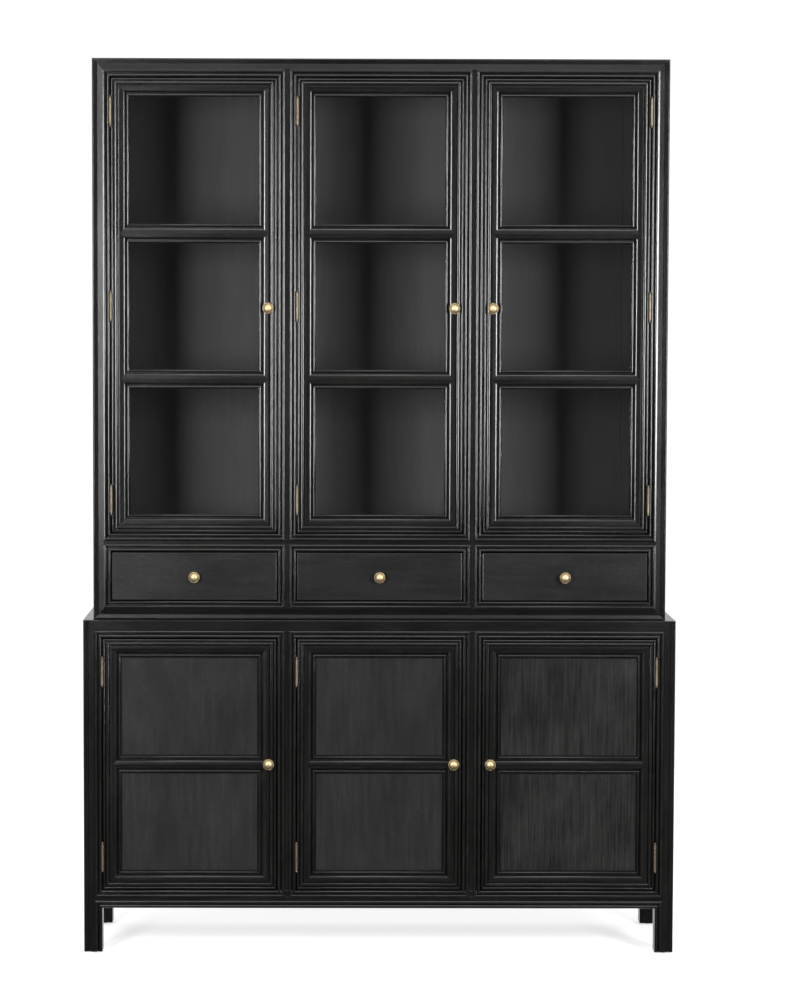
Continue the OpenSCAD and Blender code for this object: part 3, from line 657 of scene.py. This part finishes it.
def base_rails():
    reach = BASE_HOLES[2][1] + MOULD
    top = Part()
    bottom = Part()
    for hole in BASE_HOLES:
        beside(top, "top", hole, BASE_FACE, TWO_BEADS)
        beside(bottom, "bottom", hole, BASE_FACE, TWO_BEADS)
    beside(bottom, "top", FOOT_HOLE, BASE_FACE, TWO_BEADS)
    height = BASE[3] - BASE_HOLES[0][3] - MOULD
    # Its upper edge is rounded over
    crown = [(0, FLAT_V, 0.5), (height - 2.4, FLAT_V, 0.5), (height - 1.6, FLAT_V, 0.6),
             (height - 0.9, 3.2, 0.8), (height - 0.3, 3.8, 1), (height, 4.8, 0.9)]
    stick(top, crown, BASE_FACE, "x", BASE_HOLES[0][3] + MOULD, 1,
          constant(-reach), constant(reach), box_loop(crown, FRAME_T))
    flat_bar(bottom, BASE_FACE, FOOT_HOLE[3] + MOULD, BASE_HOLES[0][2] - MOULD, (-reach, reach))
    top.done("base_rail_top", "cabinet", ["base_front_rails"], black_stick, "black_wood")
    bottom.done("base_rail_bottom", "cabinet", ["base_front_rails"], black_stick, "black_wood")
    for i, name in enumerate(("left", "right")):
        part = Part()
        mullion(part, BASE_HOLES[i], BASE_HOLES[i + 1], BASE_FACE)
        part.done(f"base_mullion_{name}", "cabinet", ["base_mullions"], black_stick, "black_wood")


def hutch_back():
    """The hutch's back is three boards, one behind each door."""
    low, high = limits("hutch_back_panel")
    joints = [low[0], -MULLION_X, MULLION_X, high[0]]
    for side, x0, x1 in zip(SIDES, joints, joints[1:]):
        part = Part()
        board(part, (x0, low[1], low[2]), (x1, high[1], high[2]), 2, 0.8)
        part.done(f"hutch_back_{side}", "cabinet", ["hutch_back_panel"], stain_up, "dark_board",
                  SHARP_BOARD)


def rear_legs():
    low, high = limits("base_rear_legs")
    width = BASE[1] - BASE_HOLES[2][1]
    for name, x in (("left", low[0]), ("right", high[0] - width)):
        part = Part()
        board(part, (x, low[1], low[2]), (x + width, high[1], high[2]), 2, 2)
        part.done(f"base_rear_leg_{name}", "cabinet", ["base_rear_legs"], black_stick,
                  "black_wood", SHARP_BOARD)


# ---- Doors ----

def lights_of(sight, count):
    """The lights of a door, one above the other, parted by bars that are two mouldings wide."""
    pitch = (sight[3] - sight[2] + 2 * SIGHT_W) / count
    return [[sight[0], sight[1], sight[2] + k * pitch, sight[2] + (k + 1) * pitch - 2 * SIGHT_W]
            for k in range(count)]


def door_sticks(kind, side, door, face, width, count, sight_profile, held):
    """A door's stiles, rails and bars. Each is one piece, with the mouldings that run along it.

    width is a stile's, from the door's edge to its lights. The lights are the result.
    """
    lights = lights_of(grown(door, -width), count)
    outer = door_edge(width - SIGHT_W)
    groove_loop = [(SIGHT_W, DOOR_T), (0, DOOR_T), (0, held[1]), (HELD, held[1]),
                   (HELD, held[0]), (0, held[0])]
    body = f"{kind}_door_{side}"

    def inner(part, name, light):
        stick(part, sight_profile, face, *run_beside(light, name), groove_loop)

    pieces = []
    for name, fixed, sign in (("left", door[0], 1), ("right", door[1], -1)):
        part = Part()
        stick(part, outer, face, "z", fixed, sign,
              lambda u: door[2] + u, lambda u: door[3] - u, box_loop(outer, DOOR_T))
        for light in lights:
            inner(part, name, light)
        pieces.append((f"stile_{name}", part))
    rails = (("bottom", door[2], 1, lights[0]), ("top", door[3], -1, lights[-1]))
    for name, fixed, sign, light in rails:
        part = Part()
        stick(part, outer, face, "x", fixed, sign,
              lambda u: door[0] + u, lambda u: door[1] - u, box_loop(outer, DOOR_T))
        inner(part, name, light)
        pieces.append((f"rail_{name}", part))
    for k in range(count - 1):
        part = Part()
        inner(part, "top", lights[k])
        inner(part, "bottom", lights[k + 1])
        pieces.append((f"bar_{k + 1}", part))
    for name, part in pieces:
        part.done(f"{body}_{name}", body, [f"{body}_frame"], black_stick, "black_wood")
    return lights


def doors():
    for side, door in zip(SIDES, GLASS_DOORS):
        width = HELD - PLAY + limits(f"hutch_door_{side}_glass")[0][0] - door[0]
        door_sticks("hutch", side, door, HUTCH_FACE, width, 3, GLASS_SIGHT, GLASS_V)
    for side, door in zip(SIDES, PANEL_DOORS):
        low, high = limits(f"base_door_{side}_panels")
        width = HELD - PLAY + low[0] - door[0]
        lights = door_sticks("base", side, door, BASE_FACE, width, 2, PANEL_SIGHT, PANEL_V)
        for name, light in zip(("lower", "upper"), lights):
            part = Part()
            hold = grown(light, HELD - PLAY)
            board(part, (hold[0], low[1], hold[2]), (hold[1], high[1], hold[3]), 2, 0.6)
            finish = black_grain if side == "right" else black_panel
            part.done(f"base_door_{side}_panel_{name}", f"base_door_{side}",
                      [f"base_door_{side}_panels"], finish, "black_wood", SHARP_BOARD)


# ---- Drawers ----

# Thickness of the sides and back, and of the bottom; the bottom's height above the sides' edge
SIDE_T = 12
BOTTOM_T = 6
LIFT = 3.5
# How far the back stops short of the sides' top; how far the bottom is tucked into the sides
BACK_DROP = 4
TUCK = 0.5
# How far edges are eased, on a box's boards and round a front
BOX_EDGE = 1.4
FRONT_EDGE = 1.8


def drawer_front(side):
    low, high = limits(f"drawer_{side}_front")
    part = Part()
    board(part, low, high, 0, FRONT_EDGE)
    part.done(f"drawer_{side}_front_board", f"drawer_{side}", [f"drawer_{side}_front"],
              black_front, "black_wood", SHARP_BOARD)


def drawer_box(side):
    """Two sides, a back between them, and a bottom that runs under the back."""
    low, high = limits(f"drawer_{side}_box")
    front = limits(f"drawer_{side}_front")[1][1]
    inner = (low[0] + SIDE_T, high[0] - SIDE_T)
    bottom = (low[2] + LIFT, low[2] + LIFT + BOTTOM_T)
    part = Part()
    board(part, (low[0], front, low[2]), (inner[0], high[1], high[2]), 1, BOX_EDGE)
    board(part, (inner[1], front, low[2]), (high[0], high[1], high[2]), 1, BOX_EDGE)
    board(part, (inner[0], high[1] - SIDE_T, bottom[1]),
          (inner[1], high[1], high[2] - BACK_DROP), 0, BOX_EDGE)
    board(part, (inner[0] - TUCK, front, bottom[0]),
          (inner[1] + TUCK, high[1] - TUCK, bottom[1]), 0, TUCK)
    part.done(f"drawer_{side}_box_boards", f"drawer_{side}", [f"drawer_{side}_box"],
              drawer_wood, "drawer_wood", SHARP_BOARD)


# ---- Ironmongery ----

# Height of the head of a knob's screw
SCREW_HEAD = 2.4
# How far a knob's rim and dome stand out together, and the radius of its waist
DOME = 9.5
WAIST_R = 4.6


def arc(centre, size, angles, rub):
    """Points of an outline along an ellipse; angles are in degrees, outwards from the axis."""
    turns = [math.radians(a) for a in angles]
    return [(centre[0] + size[0] * math.sin(t), centre[1] + size[1] * math.cos(t), rub)
            for t in turns]


def screw_outline(inside):
    """A knob's screw: its shank through the wood and its round head behind."""
    end = inside + SCREW_HEAD
    return [(2, 0.1, 0.5), (2, inside, 0.5), (4.3, inside + 0.01, 0.6), (4.5, inside + 0.4, 1),
            (4.3, inside + 1.5, 1), (3.4, end, 0.9), (0.01, end, 0.9)]


def knob_outline(radius, reach):
    """A turned knob: foot, waist, rolled rim, a fine line and a dome."""
    rim = reach - DOME
    foot = [(0.01, 0, 0.6), (8, 0, 0.6), (8.2, 0.5, 0.9), (8, 1.3, 1), (7.2, 1.7, 0.4),
            (6.6, 1.9, 0.2)]
    waist = [(WAIST_R + 2 * (1 - math.sin(math.radians(a))), 2.2 + 5 * a / 90, 0.4)
             for a in range(10, 91, 16)]
    flare = [(WAIST_R + (radius - 6.2) * (1 - math.cos(math.radians(a))),
              7.2 + (rim - 9.4) * math.sin(math.radians(a)), 0.5) for a in range(12, 91, 13)]
    roll = arc((radius - 1.5, rim - 0.2), (1.5, -1.5), range(0, 151, 15), 1)
    line = [(radius - 1.2, rim + 1.0, 0.1), (radius - 1.5, rim + 1.0, 0.0)]
    dome = arc((0, rim + 1.1), (radius - 1.7, reach - rim - 1.1), range(90, 0, -6), 0.95)
    return foot + waist + flare + roll + line + dome + [(0.01, reach, 1)]


def knobs():
    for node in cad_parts:
        if not node.endswith("_knob"):
            continue
        low, high = limits(node)
        body = node[:-len("_knob")]
        radius = (high[0] - low[0]) / 2
        centre = ((low[0] + high[0]) / 2, (low[2] + high[2]) / 2)
        inside = DOOR_T
        if "drawer" in node:
            front_low, front_high = limits(f"{body}_front")
            inside = front_high[1] - front_low[1]
        face = high[1] - SCREW_HEAD - inside
        foot = (centre[0], face, centre[1])
        part = Part()
        lathe(part, knob_outline(radius, face - low[1]), foot, (0, -1, 0), 64)
        lathe(part, screw_outline(inside), foot, (0, 1, 0), 40)
        part.done(f"{node}_turned", body, [node], knob_brass, "knob_brass", SHARP_BRASS)


# A hinge: its barrel, and the gap between two knuckles
BARREL = 66
BARREL_R = 4.2
KNUCKLES = 5
KNUCKLE = BARREL / KNUCKLES
KNUCKLE_GAP = 0.3
# A leaf's two faces, measured from the pin across the gap, and how deep it goes from the pin
LEAF = (0.3, 1.9)
LEAF_D = 23
# Where the plate begins behind the pin; each knuckle's neck overlaps it a little
PLATE_D = 4.7
NECK_D = 4.9
# Its screws: along the barrel from the middle, back from the pin, and the middle one's extra
SCREWS = (-22, 0, 22)
SCREW_D = 14
SCREW_STAGGER = 3
SCREW_R = 3.3
# Half the slot's width, how far a head stands proud of the leaf, and how far it goes in
SLOT = 0.35
PROUD = 0.12
SUNK = 1.0
# The pin stands this far in front of the face, and its ends are balls
PIN_OUT = 3
PIN_R = 2
BALL_R = 3


def hinge_places():
    """Each hinge's pin: (body of its door, x, y, z, side of the door from the pin)."""
    places = []
    kinds = (("hutch", HUTCH_FACE, GLASS_DOORS), ("base", BASE_FACE, PANEL_DOORS))
    for kind, face, rects in kinds:
        for side, door in zip(SIDES, rects):
            low, high = limits(f"{kind}_door_{side}_hinge_leaves")
            s = -1 if side == "right" else 1
            x = (door[1] if s < 0 else door[0]) - s * GAP / 2
            ends = (low[2] + BARREL / 2, high[2] - BARREL / 2)
            heights = [ends[0], sum(ends) / 2, ends[1]] if kind == "hutch" else list(ends)
            places += [(f"{kind}_door_{side}", x, face - PIN_OUT, z, s) for z in heights]
    return places


def half_head(part, y, z, sign, x0, x1):
    """Half a slotted screw head, flat side to the slot, standing along X."""
    steps = 14
    outline = [(sign * (SLOT + (SCREW_R - SLOT) * math.sin(math.pi * k / steps)),
                SCREW_R * math.cos(math.pi * k / steps)) for k in range(steps + 1)]
    points = [(x, y + dy, z + dz) for x in (x0, x1) for dy, dz in outline]
    n = steps + 1
    faces = [list(range(n)), list(range(n, 2 * n))]
    faces += [[i, (i + 1) % n, n + (i + 1) % n, n + i] for i in range(n)]
    part.add(points, faces, [(0, 0)] * len(points), [1.0] * len(points))


def leaf(part, x, y, z, s, own):
    """A hinge leaf with its own knuckles and three screws, on side s of the pin."""
    x0, x1 = sorted((x + s * LEAF[0], x + s * LEAF[1]))
    bottom = z - BARREL / 2
    board(part, (x0, y + PLATE_D, bottom), (x1, y + LEAF_D, z + BARREL / 2), 2, 0.35, 0.7)
    length = KNUCKLE - KNUCKLE_GAP
    outline = [(BARREL_R - 1.9, 0, 0.2), (BARREL_R - 0.5, 0, 0.5), (BARREL_R, 0.5, 1),
               (BARREL_R, length - 0.5, 1), (BARREL_R - 0.5, length, 0.5),
               (BARREL_R - 1.9, length, 0.2)]
    for k in own:
        low = bottom + k * KNUCKLE + KNUCKLE_GAP / 2
        lathe(part, outline, (x, y, low), (0, 0, 1), 40)
        board(part, (x0, y, low), (x1, y + NECK_D, low + length), 2, 0.2, 0.6)
    inside = x0 - PROUD if s > 0 else x1 - SUNK
    for at in SCREWS:
        back = SCREW_D + (SCREW_STAGGER if at == 0 else 0)
        for half in (-1, 1):
            half_head(part, y + back, z + at, half, inside, inside + PROUD + SUNK)


def pin_outline():
    """A pin with a ball tip and a small collar at each end of the barrel."""
    end = BARREL / 2
    ball = end + 3.2
    collar = [(2.3, 0.7, 0.1), (3.5, 0.2, 0.8), (3.5, -0.15, 0.4), (PIN_R, -0.16, 0.3)]
    return ([(0.01, -end - 6, 1)]
            + arc((0, -ball), (BALL_R, -BALL_R), range(15, 140, 14), 1)
            + [(r, -end - h, rub) for r, h, rub in collar]
            + [(r, end + h, rub) for r, h, rub in reversed(collar)]
            + arc((0, ball), (BALL_R, -BALL_R), range(50, 166, 14), 1)
            + [(0.01, end + 6.2, 1)])


def hinges():
    """The hinges of each door share two pieces, frame leaves and door leaves; all pins are one."""
    leaves = {}
    pins = Part()
    for body, x, y, z, s in hinge_places():
        fixed, moving = leaves.setdefault(body, (Part(), Part()))
        leaf(fixed, x, y, z, -s, (0, 2, 4))
        leaf(moving, x, y, z, s, (1, 3))
        lathe(pins, pin_outline(), (x, y, z), (0, 0, 1), 32)
    for body, (fixed, moving) in leaves.items():
        fixed.done(f"{body}_frame_leaves", "cabinet", ["hinge_frame_leaves"], hinge_brass,
                   "hinge_brass", SHARP_BRASS)
        moving.done(f"{body}_door_leaves", body, [f"{body}_hinge_leaves"], hinge_brass,
                    "hinge_brass", SHARP_BRASS)
    pins.done("hinge_pins_turned", "cabinet", ["hinge_pins"], hinge_brass, "hinge_brass",
              SHARP_BRASS)


# ---- CAD nodes that keep their shape ----

def paint(nodes, material):
    for node in nodes:
        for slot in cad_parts[node].material_slots:
            slot.material = material


def carried_over():
    paint(["base_side_panels", "hutch_side_panels"], black_up)
    paint(["base_top_board", "hutch_top_board"], black_across)
    paint(["base_back_panel", "hutch_back_posts", "base_dividers", "drawer_dividers"], stain_up)
    paint(["base_bottom_board", "base_shelves", "hutch_bottom_board", "hutch_deck",
           "hutch_shelves"], stain_across)
    paint(["base_side_rails", "drawer_runners"], stain_back)
    paint(["bullet_catches"], hinge_brass)
    paint(["leg_glides"], glide_plastic)
    paint([f"hutch_door_{s}_glass" for s in SIDES], glass)


# ---- Studio ----

def floor():
    """A pale floor that lights itself a little. What shines doesn't mirror it."""
    mat, add, shader, tree = new_material("studio_floor")
    place = add("ShaderNodeTexCoord").outputs["Object"]
    cloud = add("ShaderNodeTexNoise", Vector=place, Scale=0.6, Detail=3)
    tint = ramp(add, cloud.outputs[0], [(0.3, grey(0.86)), (0.7, grey(0.9))])
    tree.links.new(tint, shader.inputs["Base Color"])
    tree.links.new(tint, shader.inputs["Emission Color"])
    shader.inputs["Emission Strength"].default_value = 0.6
    shader.inputs["Roughness"].default_value = 0.75
    mesh = bpy.data.meshes.new("studio_floor")
    half, front, back = 3, BASE_FACE * MM - 0.75, 3
    corners = [(-half, front, 0), (half, front, 0), (half, back, 0), (-half, back, 0)]
    mesh.from_pydata(corners, [], [(0, 1, 2, 3)])
    obj = bpy.data.objects.new("studio_floor", mesh)
    bpy.context.scene.collection.objects.link(obj)
    mesh.materials.append(mat)
    obj.visible_glossy = False


def softbox(name, angle, distance, height, size, power, aim=1.5):
    """A softbox seen at an angle from the cabinet's front, 0 straight ahead and + to the right."""
    light = bpy.data.lights.new(name, "AREA")
    light.shape = "RECTANGLE"
    light.size, light.size_y = size
    light.energy = power
    obj = bpy.data.objects.new(name, light)
    bpy.context.scene.collection.objects.link(obj)
    a = math.radians(angle)
    obj.location = (distance * math.sin(a), BASE_FACE * MM - distance * math.cos(a), height)
    obj.visible_camera = False
    way = Vector((0, 0, aim)) - obj.location
    obj.rotation_mode = "QUATERNION"
    obj.rotation_quaternion = way.to_track_quat("-Z", "Y")


def room():
    """White to the camera. What wood and brass mirror is pale behind the cabinet and above,
    and dark low down in front of it.
    """
    world = bpy.data.worlds.new("studio")
    bpy.context.scene.world = world
    world.use_nodes = True
    tree = world.node_tree
    tree.nodes.clear()
    link = tree.links.new
    seen = tree.nodes.new("ShaderNodeBackground")
    seen.inputs["Color"].default_value = grey(1)
    seen.inputs["Strength"].default_value = 1.05
    way = tree.nodes.new("ShaderNodeTexCoord")
    parts = tree.nodes.new("ShaderNodeSeparateXYZ")
    link(way.outputs["Generated"], parts.inputs[0])
    level = tree.nodes.new("ShaderNodeValToRGB")
    link(parts.outputs["Z"], level.inputs[0])
    steps = level.color_ramp.elements
    steps[0].position, steps[0].color = 0.09, (0.1, 0.1, 0.102, 1)
    steps[1].position, steps[1].color = 0.24, grey(1)
    steps.new(0.9).color = grey(0.6)
    behind = tree.nodes.new("ShaderNodeMapRange")
    behind.inputs["From Min"].default_value = 0.0
    behind.inputs["From Max"].default_value = 0.2
    link(parts.outputs["Y"], behind.inputs["Value"])
    pale = tree.nodes.new("ShaderNodeMath")
    pale.operation = "MAXIMUM"
    link(level.outputs[0], pale.inputs[0])
    link(behind.outputs[0], pale.inputs[1])
    walls = tree.nodes.new("ShaderNodeBackground")
    walls.inputs["Color"].default_value = grey(0.8)
    link(pale.outputs[0], walls.inputs["Strength"])
    path = tree.nodes.new("ShaderNodeLightPath")
    mix = tree.nodes.new("ShaderNodeMixShader")
    out = tree.nodes.new("ShaderNodeOutputWorld")
    link(path.outputs["Is Camera Ray"], mix.inputs[0])
    link(walls.outputs[0], mix.inputs[1])
    link(seen.outputs[0], mix.inputs[2])
    link(mix.outputs[0], out.inputs[0])


def camera():
    """The photograph's viewpoint; yaw turns to the right, pitch down, roll anticlockwise."""
    data = bpy.data.cameras.new("camera")
    data.lens = 110.8
    data.sensor_width = 36
    data.shift_x = 0.0504
    data.shift_y = 0.0268
    data.clip_end = 200
    obj = bpy.data.objects.new("camera", data)
    bpy.context.scene.collection.objects.link(obj)
    yaw, pitch, roll = math.radians(0.304), math.radians(3.973), math.radians(0.137)
    turn = (Euler((0, 0, -yaw)).to_matrix() @ Euler((math.pi / 2 - pitch, 0, 0)).to_matrix()
            @ Matrix.Rotation(roll, 3, "Z"))
    obj.matrix_world = Matrix.Translation((-0.134, -7.944, 1.628)) @ turn.to_4x4()
    bpy.context.scene.camera = obj


hutch_stile("left")
hutch_stile("right")
hutch_rails()
hutch_mullions()
base_leg("left")
base_leg("right")
base_rails()
rear_legs()
hutch_back()
doors()
for place in SIDES:
    drawer_front(place)
    drawer_box(place)
knobs()
hinges()
carried_over()
floor()
room()
softbox("left_softbox", -26.7, 4.45, 1.68, (0.7, 1.56), 170)
softbox("right_softbox", 34.0, 4.08, 1.7, (0.66, 1.5), 165)
softbox("top_softbox", 0, 3.4, 5.2, (3.4, 1.5), 90, 1.6)
camera()
bpy.context.scene.view_settings.view_transform = "Standard"
